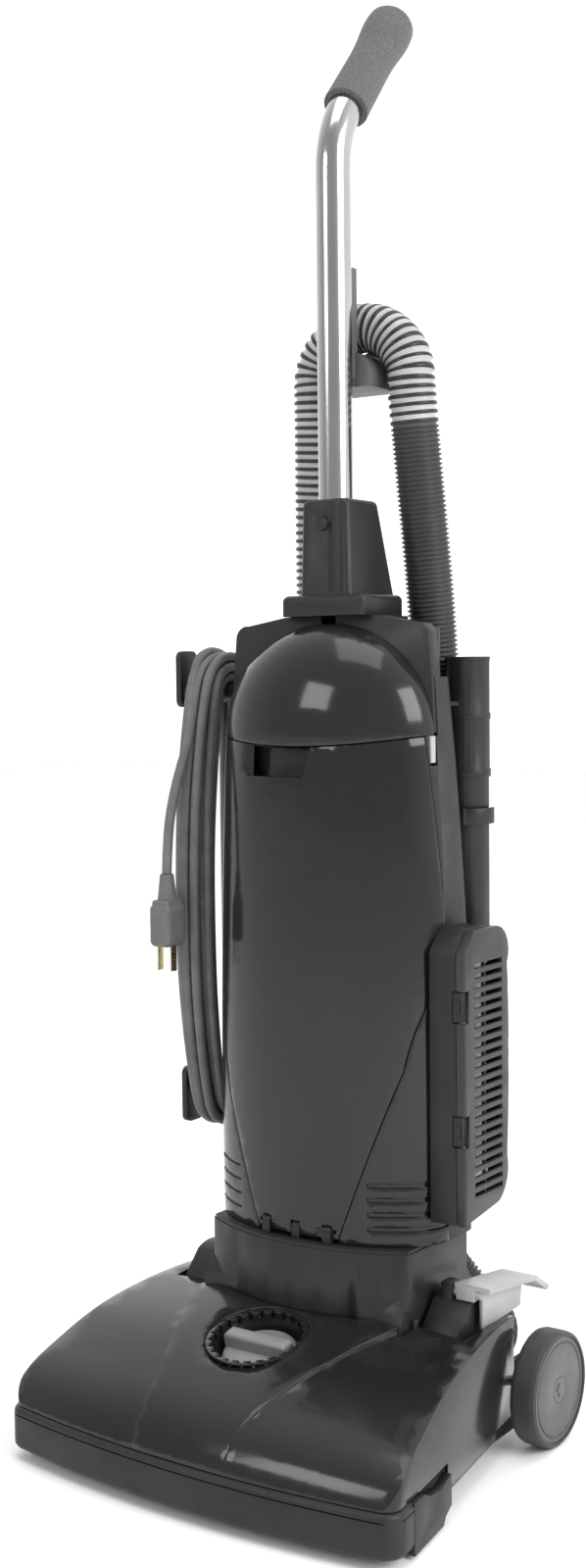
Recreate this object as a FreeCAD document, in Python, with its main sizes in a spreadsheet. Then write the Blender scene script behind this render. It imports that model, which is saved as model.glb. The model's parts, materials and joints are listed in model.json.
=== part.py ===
import FreeCAD, Part
import math
import os

import Sketcher

from FreeCAD import Placement, Rotation, Vector

# Upright vacuum cleaner.  Millimetres, +Z up, the front faces -Y.  The origin is on the floor
# under the middle of the machine.  The base stands on two rear wheels and two front rollers,
# and the upright half reclines about the motor's own axis, so the belt keeps its length.

doc = FreeCAD.newDocument("upright_vacuum")
sheet = doc.addObject("Spreadsheet::Sheet", "dims")

DIMENSIONS = {
    # base
    "base_width": 340, "base_front": -140, "base_rear": 80, "base_bow": 15, "base_taper": 0.14,
    "hood_wall": 3, "hood_low": 21, "hood_crown": 7, "bumper_low": 8, "bumper_high": 40,
    "bumper_thick": 9, "floor_low": 10, "floor_thick": 3,
    # wheels and rollers
    "wheel_dia": 87, "wheel_width": 22, "wheel_mid": 157, "wheel_back": 101, "axle_dia": 8,
    "roller_dia": 26, "roller_width": 14, "roller_mid": 112, "roller_back": -66,
    # brush
    "brush_back": -108, "brush_up": 33, "brush_core": 34, "brush_tip": 54, "brush_length": 272,
    # pivot, motor
    "pivot_back": 50, "pivot_up": 88, "motor_dia": 84, "motor_length": 118, "drum_dia": 116,
    "neck_half": 91, "trunnion_dia": 30,
    # upright body
    "split_back": 50, "body_low": 160, "body_knee": 381, "body_high": 583, "body_top": 628,
    "half_low": 101, "half_knee": 100, "half_high": 91.5, "door_depth": 57, "body_rear": 94,
    "shell_wall": 3, "seam_up": 541, "seam_dip": 9, "hinge_up": 168,
    # handle
    "tube_dia": 27, "tube_back": 58, "bend_up": 968, "bend_radius": 78, "bend_angle": 40,
    "grip_dia": 36, "grip_length": 112, "socket_low": 646, "socket_high": 719,
    # hose and wand
    "hose_dia": 38, "hose_arch": 812, "hose_half": 43, "wand_dia": 34, "wand_side": 83.5,
    "wand_back": 113, "wand_low": 250, "wand_high": 598,
    # exhaust filter
    "filter_out": 128, "filter_front": 28, "filter_rear": 96, "filter_low": 174,
    "filter_high": 397, "slot_count": 24, "slot_pitch": 7.4, "slot_long": 42,
    # mains cord
    "cord_dia": 8, "hank_out": 132, "hook_high": 604, "hook_low": 214, "hook_back": 66,
}


class Dims:
    """The driving dimensions by name, for shapes that are worked out in code."""


D = Dims()
for row, (alias, value) in enumerate(DIMENSIONS.items(), start=1):
    sheet.set("A%d" % row, alias)
    sheet.set("B%d" % row, str(value))
    sheet.setAlias("B%d" % row, alias)
    setattr(D, alias, value)
doc.recompute()

NODES = {}


# ---------------------------------------------------------------- helpers

def give(obj, prop, value):
    """Set a size: a text is an expression on the sheet, anything else is a value."""
    if isinstance(value, str):
        obj.setExpression(prop, value)
    else:
        setattr(obj, prop, value)


def place(obj, at=(0, 0, 0), axis=(0, 0, 1), angle=0.0):
    """Put an object at a point; each coordinate may be an expression on the sheet."""
    numbers = [0.0 if isinstance(v, str) else float(v) for v in at]
    obj.Placement = Placement(Vector(*numbers), Rotation(Vector(*axis), angle))
    for name, value in zip("xyz", at):
        if isinstance(value, str):
            obj.setExpression("Placement.Base." + name, value)
    return obj


def keep(obj, label):
    """Make an object one sub-part of the machine."""
    obj.Label = label
    NODES[label] = obj
    return obj


def box(size, at):
    b = doc.addObject("Part::Box", "block")
    for prop, value in zip(("Length", "Width", "Height"), size):
        give(b, prop, value)
    return place(b, at)


TURN = {"X": ((0, 1, 0), 90), "Y": ((1, 0, 0), -90), "Z": ((0, 0, 1), 0)}


def rod(radius, length, at, along="Z"):
    c = doc.addObject("Part::Cylinder", "rod")
    give(c, "Radius", radius)
    give(c, "Height", length)
    axis, angle = TURN[along]
    return place(c, at, axis, angle)


def ring(outer, inner, length, at, along="Z"):
    return cut(rod(outer, length, at, along), rod(inner, length, at, along))


def cone(low, high, length, at, along="Z"):
    c = doc.addObject("Part::Cone", "taper")
    give(c, "Radius1", low)
    give(c, "Radius2", high)
    give(c, "Height", length)
    axis, angle = TURN[along]
    return place(c, at, axis, angle)


def fuse(*parts):
    f = doc.addObject("Part::MultiFuse", "joined")
    f.Shapes = list(parts)
    f.Refine = True
    return f


def cut(base, *tools):
    c = doc.addObject("Part::Cut", "cut")
    c.Base = base
    c.Tool = tools[0] if len(tools) == 1 else fuse(*tools)
    return c


def common(first, second):
    c = doc.addObject("Part::Common", "overlap")
    c.Base = first
    c.Tool = second
    return c


def rounded(base, radius, test):
    """Round the edges of an object that pass a test on the edge."""
    doc.recompute()
    f = doc.addObject("Part::Fillet", "rounded")
    f.Base = base
    f.Edges = [(i, radius, radius) for i, e in enumerate(base.Shape.Edges, 1) if test(e)]
    return f


def mirrored(obj):
    """The same piece on the other side of the middle plane."""
    m = doc.addObject("Part::Mirroring", "mirrored")
    m.Source = obj
    m.Normal = Vector(1, 0, 0)
    return m


def solid(shape):
    f = doc.addObject("Part::Feature", "shape")
    f.Shape = shape
    return f


def new_body(name):
    return doc.addObject("PartDesign::Body", name)


def sketch(body, role, edges, offset=0.0):
    """A sketch of Part edges on one of the body's origin planes, moved along its normal."""
    s = body.newObject("Sketcher::SketchObject", "outline")
    plane = next(f for f in body.Origin.OriginFeatures if f.Role == role)
    s.AttachmentSupport = [(plane, "")]
    s.MapMode = "FlatFace"
    give_offset(s, offset)
    for edge in edges:
        s.addGeometry(edge, False)
    return s


def give_offset(s, offset):
    if isinstance(offset, str):
        s.setExpression("AttachmentOffset.Base.z", offset)
    else:
        s.AttachmentOffset = Placement(Vector(0, 0, offset), Rotation())


def lines(*points):
    """A closed run of straight edges through points in a sketch plane."""
    ends = [Vector(x, y, 0) for x, y in points]
    return [Part.LineSegment(a, b) for a, b in zip(ends, ends[1:] + ends[:1])]


def curve(*points):
    """One smooth edge through points in a sketch plane."""
    c = Part.BSplineCurve()
    c.interpolate([Vector(x, y, 0) for x, y in points])
    return c


def line(a, b):
    return Part.LineSegment(Vector(*a, 0), Vector(*b, 0))


def arc(a, b, c):
    return Part.Arc(Vector(*a, 0), Vector(*b, 0), Vector(*c, 0))


def pad(body, profile, length, middle=False, back=False):
    p = body.newObject("PartDesign::Pad", "pad")
    p.Profile = profile
    give(p, "Length", length)
    p.SideType = "Symmetric" if middle else "One side"
    p.Reversed = back
    return p


def pocket(body, profile, length, middle=False, back=False):
    p = body.newObject("PartDesign::Pocket", "pocket")
    p.Profile = profile
    give(p, "Length", length)
    p.SideType = "Symmetric" if middle else "One side"
    p.Reversed = back
    return p


def turned(body, profile, axis):
    """Turn a sketch a full circle about one of its own two axes."""
    r = body.newObject("PartDesign::Revolution", "turned")
    r.Profile = profile
    r.ReferenceAxis = (profile, [axis])
    r.Angle = 360
    return r


def loft(body, first, others, ruled=False):
    a = body.newObject("PartDesign::AdditiveLoft", "loft")
    a.Profile = first
    a.Sections = others
    a.Ruled = ruled
    return a


def row(body, feature, direction, count, length):
    """Repeat a feature in a straight row along one of its sketch's axes."""
    p = body.newObject("PartDesign::LinearPattern", "row")
    p.Originals = [feature]
    p.Direction = direction
    give(p, "Length", length)
    give(p, "Occurrences", count)
    body.Tip = p
    return p


def slab(role, edges, length, offset=0.0, middle=False):
    """A body that is one outline pushed straight out."""
    b = new_body("slab")
    pad(b, sketch(b, role, edges, offset), length, middle)
    return b


# ---------------------------------------------------------------- base: hood and chassis

HOOD_REACH = (0.0, 0.05, 0.19, 0.38, 0.58, 0.78, 1.0)
HOOD_RISE = (41, 58, 75, 90, 98, 101, 99)
CROWN_SHARE = (0.0, 0.5, 0.85, 1.0, 1.0, 1.0, 1.0)
STEP_RISE = (0.8, 1.5, 2.2, 2.5, 5.0, 6.0, 6.0)


def hood_outline(front, crown, step, inset):
    """Side outline of the hood: steep at the front edge, nearly level at the back."""
    front = front + inset
    top = []
    for reach, rise, share, lift in zip(HOOD_REACH, HOOD_RISE, CROWN_SHARE, STEP_RISE):
        up = rise + crown * share + (lift if step else 0.0) - inset
        top.append((front + reach * (D.base_rear + 2 - front), up))
    low = D.hood_low - (40 if inset else 0)
    return [line((front, low), top[0]), curve(*top), line(top[-1], (top[-1][0], low)),
            line((top[-1][0], low), (front, low))]


def hood_mass(half, step, inset):
    """The hood as one block, lofted across the machine so that the front bows out."""
    b = new_body("hood_mass")
    cuts = []
    for side in (-half, 0.0, half):
        share = 1.0 - (side * 2.0 / D.base_width) ** 2
        front = D.base_front - D.base_bow * share
        edges = hood_outline(front, D.hood_crown * share, step, inset)
        cuts.append(sketch(b, "YZ_Plane", edges, side))
    loft(b, cuts[0], cuts[1:])
    return b


def base_plan(grow, rear):
    """Plan outline of the base: bowed front, sides drawn in towards the back."""
    half = D.base_width / 2 + grow
    front = D.base_front - grow
    back_half = half - D.base_taper * (rear - D.base_front)
    return [arc((-half, front), (0, front - D.base_bow), (half, front)),
            line((half, front), (back_half, rear)), line((back_half, rear), (-back_half, rear)),
            line((-back_half, rear), (-half, front))]


def neck_plan(grow):
    half = D.neck_half + grow
    nose = -17 - grow
    corner = 9 - grow
    rear = D.body_rear + grow
    return [arc((-half, corner), (0, nose), (half, corner)), line((half, corner), (half, rear)),
            line((half, rear), (-half, rear)), line((-half, rear), (-half, corner))]


def upright_at(x, y):
    """A test for straight vertical edges near a plan position."""
    def test(edge):
        first, last = edge.Vertexes[0].Point, edge.Vertexes[-1].Point
        mid = (first + last) * 0.5
        level = abs(first.z - last.z) > 5 and (first - last).cross(Vector(0, 0, 1)).Length < 1
        return level and abs(abs(mid.x) - x) < 6 and abs(mid.y - y) < 6
    return test


def make_hood():
    wall = D.hood_wall
    half = D.base_width / 2
    plan = slab("XY_Plane", base_plan(0, D.base_rear), 140)
    plan = rounded(plan, 13, upright_at(half, D.base_front))
    inner_plan = slab("XY_Plane", base_plan(-wall, D.base_rear + 8), 140)
    inner_plan = rounded(inner_plan, 10, upright_at(half - wall, D.base_front + wall))
    outer = common(hood_mass(half, False, 0.0), plan)
    crease = slab("XY_Plane", [
        line((-38, -170), (-41, -140)), curve((-41, -140), (-52, -108), (-66, -72), (-96, 12)),
        line((-96, 12), (96, 12)), curve((96, 12), (66, -72), (52, -108), (41, -140)),
        line((41, -140), (38, -170)), line((38, -170), (-38, -170))], 140)
    hump = common(common(hood_mass(half, True, 0.0), crease), plan)
    inner = common(hood_mass(half, False, wall), inner_plan)
    throat = slab("XY_Plane", neck_plan(2.0), 160)
    shoulders = box((266.5, 92, 160), (-131, 12, 0))
    drum_gap = rod("dims.drum_dia / 2 + 2", 190, (-95, "dims.pivot_back", "dims.pivot_up"), "X")
    nose_gap = box((400, 200, 60), (-200, -251.5, 40.4 - 60))
    well = fuse(on_hood(rod(36.4, 60, (0, 0, -30), "Z")), on_hood(rod(38.9, 30, (0, 0, -0.3), "Z")))
    sides = box((400, 200, 60), (-200, D.base_rear - 40, -33))
    hood = cut(fuse(outer, hump), inner, throat, shoulders, drum_gap, nose_gap, well, sides)
    keep(hood, "hood")


KNOB_BACK = -57
KNOB_UP = 97
KNOB_LEAN = 12


def on_hood(obj):
    """Set a piece drawn about the knob's own axis into the sloping top of the hood."""
    lean = Placement(Vector(0, KNOB_BACK, KNOB_UP), Rotation(Vector(1, 0, 0), KNOB_LEAN))
    obj.Placement = lean.multiply(obj.Placement)
    return obj


def make_knob():
    rim = new_body("rim")
    turned(rim, sketch(rim, "XZ_Plane", lines(
        (0, -16), (36, -16), (36, 0), (38.5, 2), (38.5, 3.6), (34, 3.6),
        (31.5, -13.5), (0, -13.5))), "V_Axis")
    notches = [rod(1.7, 8, (math.cos(a) * 34.6, math.sin(a) * 34.6, -2), "Z")
               for a in (math.radians(15 * i) for i in range(24))]
    keep(on_hood(cut(rim, rod(4.08, 20, (0, 0, -20), "Z"), *notches)), "knob_bezel")
    dial = new_body("dial")
    turned(dial, sketch(dial, "XZ_Plane", lines(
        (0, -13.2), (27, -13.2), (28, -12), (28, -9), (26.5, -7.5), (0, -7.5))), "V_Axis")
    grip = rounded(box((54, 12, 13), (-27, -6, -9)), 4, lambda e: e.CenterOfMass.z > 3.5)
    keep(on_hood(fuse(dial, grip, rod(4, 16, (0, 0, -26), "Z"))), "height_knob")


def make_bumper():
    low, high, thick = D.bumper_low, D.bumper_high, D.bumper_thick
    outer = slab("XY_Plane", base_plan(3.0, -60), high - low, low)
    outer = rounded(outer, 16, upright_at(D.base_width / 2 + 3, D.base_front - 3))
    doc.recompute()
    outer = rounded(outer, 5.0, lambda e: e.CenterOfMass.y < -100 and
                    (abs(e.CenterOfMass.z - low) < 0.1 or abs(e.CenterOfMass.z - high) < 0.1))
    inner = slab("XY_Plane", base_plan(3.0 - thick, 0), 80)
    inner = rounded(inner, 8, upright_at(D.base_width / 2 + 3 - thick, D.base_front - 3 + thick))
    groove = cut(slab("XY_Plane", base_plan(6.0, -40), 1.2, 34),
                 slab("XY_Plane", base_plan(1.6, -30), 10, 30))
    keep(cut(outer, inner, box((500, 100, 80), (-250, -116, 0)), groove), "bumper")


def make_skirts():
    """Stepped side pieces of the nozzle, behind the ends of the bumper."""
    plate = slab("YZ_Plane", [
        line((-115.6, 3), (-66, 3)), line((-66, 3), (-62, 8)), line((-62, 8), (-52, 12)),
        line((-52, 12), (-52, 34)), line((-52, 34), (-70, 30)), line((-70, 30), (-88, 33)),
        line((-88, 33), (-98, 38)), line((-98, 38), (-115.6, 39)), line((-115.6, 39), (-115.6, 3))],
        60, 120)
    skin = slab("XY_Plane", base_plan(3.2, -40), 80)
    core = slab("XY_Plane", base_plan(-4.5, -30), 90, -2)
    recess = box((8, 22, 12), (165.5, -92, 12))
    skirt = cut(common(plate, cut(skin, core)), recess)
    keep(fuse(skirt, mirrored(skirt)), "nozzle_skirts")


PORT_SIDE = 108
PORT_UP = 66


def make_chassis():
    inset = -(D.hood_wall + 1.6)
    low = D.floor_low
    tray = slab("XY_Plane", base_plan(inset - 4.5, D.base_rear - 4), 26, low)
    hollow = slab("XY_Plane", base_plan(inset - 7.5, D.base_rear - 7), 60, low + D.floor_thick)
    mouth = box((286, 57, 40), (-143, D.brush_back - 28.5, 0))
    mouth_walls = cut(box((292, 62, 24), (-146, D.brush_back - 31, low)), mouth)
    chamber = cut(rod(31, 292, (-146, D.brush_back, D.brush_up), "X"),
                  rod(28.5, 286, (-143, D.brush_back, D.brush_up), "X"),
                  box((300, 80, 60), (-150, D.brush_back - 40, -27)))
    belt_gap = box((24, 60, 60), (-83, D.brush_back + 8, 13.5))
    motor_gap = rod("dims.drum_dia / 2 + 2", 188,
                    (-94, "dims.pivot_back", "dims.pivot_up"), "X")
    rear_gap = box((188, 60, 80), (-94, 46, 0))
    roller_gap = box((2 * D.roller_mid + 34, 34, 40), (-D.roller_mid - 17, D.roller_back - 15, 0))
    arm_gaps = [box((12, 28, 40), (s * 98 - 6, D.roller_back + 18, 0)) for s in (-1, 1)]
    legs = [box((7, 56, 52), (s * 130 - 3.5, 40, low)) for s in (-1, 1)]
    axle_bore = rod("dims.axle_dia / 2 + 0.08", 400, (-200, "dims.wheel_back", "dims.wheel_dia / 2"), "X")
    arms = [box((7, 40, 30), (s * 130 - 3.5, 74, 30)) for s in (-1, 1)]
    port = fuse(rod(22, 6, (PORT_SIDE, 80.5, PORT_UP), "Y"), rod(17, 14, (PORT_SIDE, 74, PORT_UP), "Y"),
                box((44, 6, 66), (PORT_SIDE - 20, 74, low)))
    port_bore = rod(14.5, 60, (PORT_SIDE, 60, PORT_UP), "Y")
    saddles = [cut(box((8, 14, 18), (x, D.roller_back + 27, low)),
                   rod(4.08, 12, (x - 2, D.roller_back + 34, D.roller_dia / 2 + 9), "X")) for x in (-64, 56)]
    bearings = [cut(rod(9, 6, (x, D.brush_back, D.brush_up), "X"),
                    rod(3.08, 12, (x - 3, D.brush_back, D.brush_up), "X"))
                for x in (-D.brush_length / 2 - 7.2, D.brush_length / 2 + 1.2)]
    inside = slab("XY_Plane", base_plan(2.3 - D.bumper_thick, 0), 120)
    body_of = fuse(cut(tray, hollow, mouth, rear_gap), common(fuse(mouth_walls, chamber), inside),
                   *legs, *arms, port, *saddles)
    opened = cut(body_of, belt_gap, motor_gap, roller_gap, *arm_gaps, axle_bore, port_bore)
    screw_holes = [rod(1.8, 8, (x, y, 8), "Z") for x, y in SOLE_SCREWS]
    keep(cut(fuse(opened, *bearings), *screw_holes), "chassis")


SOLE_SCREWS = [(x, y) for x in (-144, 144) for y in (-134, -90)]


SOLE_SLOTS = ((-138, -89.5), (-86.5, -45.5), (-42.5, -3.5), (-0.5, 41.2), (44.2, 91.2), (94.2, 137))


def make_sole():
    """Metal bottom plate with the brush slot and its cross ribs."""
    plate = slab("XY_Plane", base_plan(-13, -84), 1.6, 7.6)
    slots = [box((high - low, 37, 20), (low, D.brush_back - 17, 0)) for low, high in SOLE_SLOTS]
    holes = [rod(1.9, 12, (x, y, 3), "Z") for x, y in SOLE_SCREWS]
    keep(cut(plate, *slots, *holes), "sole_plate")
    screws = [fuse(rod(3.4, 1.6, (x, y, 5.9), "Z"), rod(1.6, 6, (x, y, 7.4), "Z")) for x, y in SOLE_SCREWS]
    keep(fuse(*screws), "sole_screws")


def make_brush():
    back, up = "dims.brush_back", "dims.brush_up"
    left = -D.brush_length / 2
    core = rod("dims.brush_core / 2", "dims.brush_length", (left, back, up), "X")
    pulley = cut(rod(19.5, 16, (-79, back, up), "X"), ring(25, 17.4, 11, (-76.5, back, up), "X"))
    pins = rod(3, D.brush_length + 10, (left - 5, back, up), "X")
    keep(fuse(core, pulley, pins), "brush_roll")
    tufts = []
    for half, start in ((-1, 0.0), (1, 180.0)):
        for i in range(9):
            x = half * (24 + 12.5 * i) if half > 0 else -(94 + 5.2 * i)
            angle = start + 14.0 * i
            tuft = rod(2.1, D.brush_tip / 2 - D.brush_core / 2 + 1.5, (0, 0, D.brush_core / 2 - 1.5), "Z")
            spun = doc.addObject("Part::MultiFuse", "tuft")
            twin = rod(2.1, D.brush_tip / 2 - D.brush_core / 2 + 1.5, (0, 0, -D.brush_tip / 2), "Z")
            spun.Shapes = [tuft, twin]
            tufts.append(place(spun, (x, D.brush_back, D.brush_up), (1, 0, 0), angle))
    keep(fuse(*tufts), "brush_tufts")


def make_drive():
    """Motor on the pivot line, its shaft with fan and pulley, and the flat belt to the brush."""
    back, up = "dims.pivot_back", "dims.pivot_up"
    can = rod("dims.motor_dia / 2 - 3", "dims.motor_length - 30", (-32, back, up), "X")
    bells = [rod("dims.motor_dia / 2", 14, (x, back, up), "X") for x in (-46, 54)]
    mount = rod(14, 21.3, (67, back, up), "X")
    bore = rod(4.3, 140, (-60, back, up), "X")
    ribs = [box((100, 4, 4), (-34, D.pivot_back + 38.5 * math.cos(a) - 2,
                              D.pivot_up + 38.5 * math.sin(a) - 2))
            for a in (math.radians(60 * i) for i in range(6))]
    keep(cut(fuse(can, mount, *bells, *ribs), bore), "motor")
    shaft = rod(4.25, 134, (-88, back, up), "X")
    pulley = cut(rod(12, 16, (-79, back, up), "X"), ring(20, 10, 11, (-76.5, back, up), "X"))
    hub = cut(rod(9, 7, (-55.5, back, up), "X"), rod(4.2, 20, (-60, back, up), "X"))
    disc = cut(rod(34, 1.6, (-50.1, back, up), "X"), rod(8, 9, (-54, back, up), "X"))
    blades = [place(box((5.6, 22, 1.2), (0, 0, 0)),
                    (-55.5, D.pivot_back + 11 * math.cos(a), D.pivot_up + 11 * math.sin(a)),
                    (1, 0, 0), math.degrees(a) + 18) for a in (math.radians(40 * i) for i in range(9))]
    fan = cut(fuse(hub, disc, *blades), rod(4.0, 30, (-62, back, up), "X"))
    keep(fuse(shaft, pulley, fan), "motor_rotor")
    near, far = Vector(0, D.pivot_back, D.pivot_up), Vector(0, D.brush_back, D.brush_up)
    keep(solid(belt_shape(near, 10.05, far, 17.45, 1.6, -76, 10)), "drive_belt")


def belt_shape(a, ra, b, rb, thick, left, width):
    """A flat belt round two pulleys: outer outline less inner outline, in a YZ plane."""
    def outline(grow):
        gap = b - a
        span = gap.Length
        lean = math.atan2(gap.z, gap.y)
        tilt = math.acos((ra - rb) / span)
        r1, r2 = ra + grow, rb + grow

        def at(c, r, angle):
            return Vector(left, c.y + r * math.cos(angle), c.z + r * math.sin(angle))
        a1, a2 = at(a, r1, lean + tilt), at(a, r1, lean - tilt)
        b1, b2 = at(b, r2, lean + tilt), at(b, r2, lean - tilt)
        return Part.Wire([Part.LineSegment(a1, b1).toShape(),
                          Part.Arc(b1, at(b, r2, lean), b2).toShape(),
                          Part.LineSegment(b2, a2).toShape(),
                          Part.Arc(a2, at(a, r1, lean + math.pi), a1).toShape()])
    push = Vector(width, 0, 0)
    return Part.Face(outline(thick)).extrude(push).cut(Part.Face(outline(0)).extrude(push))


# ---------------------------------------------------------------- base: wheels, rollers, pedal

def make_wheels():
    back, up = "dims.wheel_back", "dims.wheel_dia / 2"
    axle = rod("dims.axle_dia / 2", "2 * dims.wheel_mid + 8", ("-dims.wheel_mid - 4", back, up), "X")
    keep(axle, "rear_axle")
    r = D.wheel_dia / 2
    w = D.wheel_width
    for name, side in (("left", -1), ("right", 1)):
        disc = new_body("disc")
        turned(disc, sketch(disc, "XZ_Plane", lines(
            (-w / 2, 4.08), (w / 2 - 3, 4.08), (w / 2 - 3, 9), (w / 2 - 1.5, 10), (w / 2 - 1.5, r - 9.2),
            (w / 2 - 2.6, r - 8.7), (w / 2 - 2.6, r - 7.6), (w / 2 - 1.5, r - 7.1), (w / 2 - 1.5, r - 4),
            (-w / 2 + 2, r - 4), (-w / 2 + 2, r - 8), (-2, r - 9), (-2, 11), (-w / 2, 11))), "H_Axis")
        cap = rod(9.5, 1.4, (w / 2 - 2.9, 0, 0), "X")
        slot = cut(rod(5.2, 6, (w / 2 - 2.2, 0, 0), "X"), rod(2.8, 6, (w / 2 - 2.2, 0, 0), "X"),
                   box((8, 6, 12), (w / 2 - 4, 0.6, -6)))
        whole = cut(fuse(disc, cap), slot)
        place(whole, (side * D.wheel_mid, D.wheel_back, r), (0, 0, 1), 0 if side > 0 else 180)
        keep(whole, "wheel_disc_" + name)
        tyre = new_body("tyre")
        turned(tyre, sketch(tyre, "XZ_Plane", lines(
            (-w / 2 + 1, r - 3.9), (w / 2 - 0.6, r - 3.9), (w / 2, r - 2.5), (w / 2 - 1.5, r - 0.6),
            (w / 2 - 5, r), (-w / 2 + 4, r), (-w / 2 + 1, r - 1))), "H_Axis")
        keep(place(tyre, (side * D.wheel_mid, D.wheel_back, r), (0, 0, 1), 0 if side > 0 else 180),
             "wheel_tyre_" + name)


def make_rollers():
    """Front rollers on a lever that the height knob raises and lowers."""
    r = D.roller_dia / 2
    hinge_back = D.roller_back + 34
    arms = [box((5, 42, 9), (s * (D.roller_mid - 14) - 2.5, D.roller_back - 5, r + 1 - 4.5)) for s in (-1, 1)]
    bar = rod(4, 2 * D.roller_mid + 12, (-D.roller_mid - 6, hinge_back, r + 9), "X")
    lift = [box((5, 9, 14), (s * (D.roller_mid - 14) - 2.5, hinge_back - 4.5, r)) for s in (-1, 1)]
    pins = rod(3, 2 * D.roller_mid + 18, (-D.roller_mid - 9, D.roller_back, r), "X")
    keep(fuse(bar, pins, *arms, *lift), "roller_carriage")
    for name, side in (("left", -1), ("right", 1)):
        wheel = cut(rod("dims.roller_dia / 2", "dims.roller_width",
                        (side * D.roller_mid - D.roller_width / 2, D.roller_back, r), "X"),
                    rod(3.1, 40, (side * D.roller_mid - 20, D.roller_back, r), "X"),
                    ring(20, r - 1.2, 2, (side * D.roller_mid - 1, D.roller_back, r), "X"))
        keep(wheel, "roller_" + name)


def make_trunnions():
    """Bearing blocks that carry the upright: an arched cap over each stub of the pivot."""
    back, up = D.pivot_back, D.pivot_up
    for name, side in (("left", -1), ("right", 1)):
        start = 96 if side > 0 else -126
        arch = rod(36, 30, (start, back, up), "X")
        foot = box((30, 52, up - 14), (start, back - 30, 14))
        flat = slab("YZ_Plane", lines((back - 46, up), (back - 8, up + 41), (back - 60, up + 60),
                                      (back - 70, up)), 30, start)
        stub = rod("dims.trunnion_dia / 2", 22, (88.6 if side > 0 else -110.6, back, up), "X")
        rear = box((40, 40, 122), (start - 5, 73.7, up - 121))
        block = fuse(cut(fuse(arch, foot), flat, rear), stub)
        if side < 0:
            block = cut(block, rod(4.5, 40, (-120, back, up), "X"))
        else:
            ear = box((9, 13, 20), (102, 35.5, 113.5))
            pin_bore = rod(4.06, 40, (100, PEDAL_BACK, PEDAL_UP), "X")
            pedal_gap = box((20, 15, 20), (111, 34.5, 120.8))
            spring_seat = box((16, 30, 40), (112.5, 64, 100.6))
            block = cut(fuse(block, ear), pin_bore, pedal_gap, spring_seat)
        keep(block, "trunnion_" + name)


PEDAL_BACK = 42
PEDAL_UP = 127


def make_pedal():
    """Foot pedal that frees the upright: a thin plate with a turned-down toe."""
    side = slab("YZ_Plane", lines((42, 101), (100, 103), (103, 121), (42, 131)), 3, 131)
    toe = (131, 112)
    top_edge = ((38, 134), (112, 124), toe, (133, 109.6), (129, 108), (110, 120.6), (38, 130.4))
    top = slab("YZ_Plane", lines(*top_edge), 30, 112)
    lug = box((15, 10, 10), (114, 37, 122))
    pin = rod(4, 31, (103, PEDAL_BACK, PEDAL_UP), "X")
    pedal = fuse(side, top, lug, pin)
    keep(pedal, "release_pedal")
    keep(solid(spring_shape(Vector(120, 72, 100.9), 4.2, 0.8, 24.6, 9)), "pedal_spring")


def spring_shape(foot, radius, wire, tall, turns):
    """A coil spring as a stack of rings joined by a thin post."""
    coil = [Part.makeTorus(radius, wire, foot + Vector(0, 0, wire + i * tall / turns)) for i in range(turns)]
    post = Part.makeCylinder(0.7, tall - tall / turns, foot + Vector(radius, 0, wire))
    return coil[0].multiFuse(coil[1:] + [post])


# ---------------------------------------------------------------- upright: housing and door

STATIONS = ((150, "half_low", 0.0), (381, "half_knee", 0.0),
            (583, "half_high", 0.0), (640, "half_high", -4.0))


def front_mass(inset):
    """Front of the upright as one block: half ellipses, widest at the bottom."""
    b = new_body("front_mass")
    cuts = []
    for up, name, extra in STATIONS:
        half = getattr(D, name) + extra - inset
        deep = D.door_depth - inset - (3.0 if up > 500 else 0.0)
        oval = Part.Ellipse(Vector(half, 0, 0), Vector(0, deep, 0), Vector(0, 0, 0))
        oval.translate(Vector(0, D.split_back, 0))
        edges = [Part.ArcOfEllipse(oval, math.pi, 2 * math.pi),
                 line((half, D.split_back), (-half, D.split_back))]
        cuts.append(sketch(b, "XY_Plane", edges, up))
    loft(b, cuts[0], cuts[1:])
    return b


def rear_mass(inset, front_back):
    """Rear of the upright as one block: a box with round back corners, drawn in at the top."""
    b = new_body("rear_mass")
    cuts = []
    for up, half, rear, corner in ((150, D.half_low, D.body_rear, 15), (D.body_knee, D.half_knee, 93, 16),
                                   (D.body_high, D.half_high, 87, 24)):
        half, rear, corner = half - inset, rear - inset, corner - inset * 0.6
        k = corner * (1 - math.sqrt(0.5))
        edges = [line((-half, front_back), (half, front_back)),
                 line((half, front_back), (half, rear - corner)),
                 arc((half, rear - corner), (half - k, rear - k), (half - corner, rear)),
                 line((half - corner, rear), (-half + corner, rear)),
                 arc((-half + corner, rear), (-half + k, rear - k), (-half, rear - corner)),
                 line((-half, rear - corner), (-half, front_back))]
        cuts.append(sketch(b, "XY_Plane", edges, up))
    loft(b, cuts[0], cuts[1:])
    return b


def seam(grow):
    """The dipped seam between door and dome, seen from the front."""
    ends, dip = D.seam_up + grow, D.seam_up + grow - D.seam_dip
    return arc((-130, ends + 6), (0, dip), (130, ends + 6))


HINGE_SEATS = (-31, -3.5, 24)


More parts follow.
